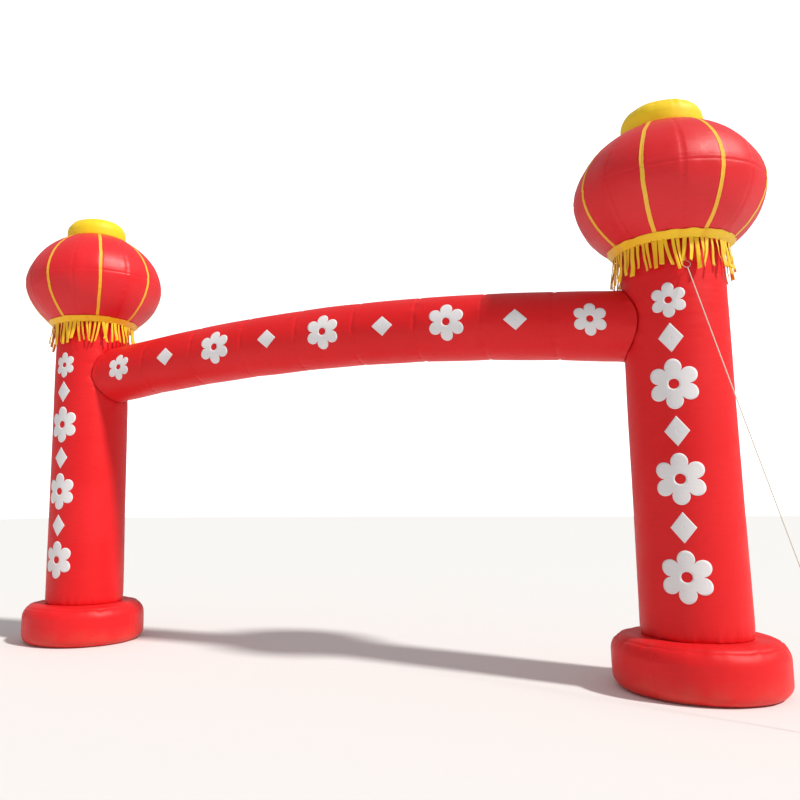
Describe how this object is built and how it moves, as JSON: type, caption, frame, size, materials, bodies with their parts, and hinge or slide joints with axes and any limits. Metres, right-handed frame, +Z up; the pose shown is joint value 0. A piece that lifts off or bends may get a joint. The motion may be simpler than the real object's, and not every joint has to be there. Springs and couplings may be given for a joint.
{
  "type": "inflatable arch",
  "caption": "Inflatable entrance arch: lantern-topped air columns on drum bases, joined by a gently arched tube, with yellow ribs and fringe, white appliques and a guy rope.",
  "frame": {"origin": "on the ground, midway between the two columns", "axes": "+X along the beam towards the column with the guy rope, front towards -Y, +Z up"},
  "size_m": [8.4102, 2.0636, 5.101],
  "materials": {
    "red_cloth": "coated oxford cloth, satin, tension wrinkles at the seams",
    "lantern_cloth": "coated oxford cloth, satin, lets some sun through",
    "yellow_cloth": "coated oxford cloth, satin",
    "rib_tape": "sewn satin tape",
    "fringe_cloth": "thin satin cloth cut into tails",
    "white_cloth": "sewn applique cloth, matt",
    "webbing": "woven polyester strap",
    "rope": "twisted polypropylene rope",
    "steel": "zinc-plated steel"
  },
  "bodies": {
    "root": {"base_left": "red_cloth", "base_right": "red_cloth", "beam": "red_cloth", "blossom_beam_1": "white_cloth", "blossom_beam_3": "white_cloth", "blossom_beam_5": "white_cloth", "blossom_beam_7": "white_cloth", "blossom_beam_9": "white_cloth", "blossom_column_left_1": "white_cloth", "blossom_column_left_3": "white_cloth", "blossom_column_left_5": "white_cloth", "blossom_column_left_7": "white_cloth", "blossom_column_right_1": "white_cloth", "blossom_column_right_3": "white_cloth", "blossom_column_right_5": "white_cloth", "blossom_column_right_7": "white_cloth", "cap_left": "yellow_cloth", "cap_right": "yellow_cloth", "column_left": "red_cloth", "column_right": "red_cloth", "fringe_left": "fringe_cloth", "fringe_right": "fringe_cloth", "guy_eye": "rope", "guy_peg": "steel", "guy_ring": "steel", "guy_rope": "rope", "guy_tab": "webbing", "lantern_left": "lantern_cloth", "lantern_right": "lantern_cloth", "lozenge_beam_2": "white_cloth", "lozenge_beam_4": "white_cloth", "lozenge_beam_6": "white_cloth", "lozenge_beam_8": "white_cloth", "lozenge_column_left_2": "white_cloth", "lozenge_column_left_4": "white_cloth", "lozenge_column_left_6": "white_cloth", "lozenge_column_right_2": "white_cloth", "lozenge_column_right_4": "white_cloth", "lozenge_column_right_6": "white_cloth", "rib_left_1": "rib_tape", "rib_left_2": "rib_tape", "rib_left_3": "rib_tape", "rib_left_4": "rib_tape", "rib_left_5": "rib_tape", "rib_left_6": "rib_tape", "rib_left_7": "rib_tape", "rib_left_8": "rib_tape", "rib_right_1": "rib_tape", "rib_right_2": "rib_tape", "rib_right_3": "rib_tape", "rib_right_4": "rib_tape", "rib_right_5": "rib_tape", "rib_right_6": "rib_tape", "rib_right_7": "rib_tape", "rib_right_8": "rib_tape"}
  },
  "joints": []
}
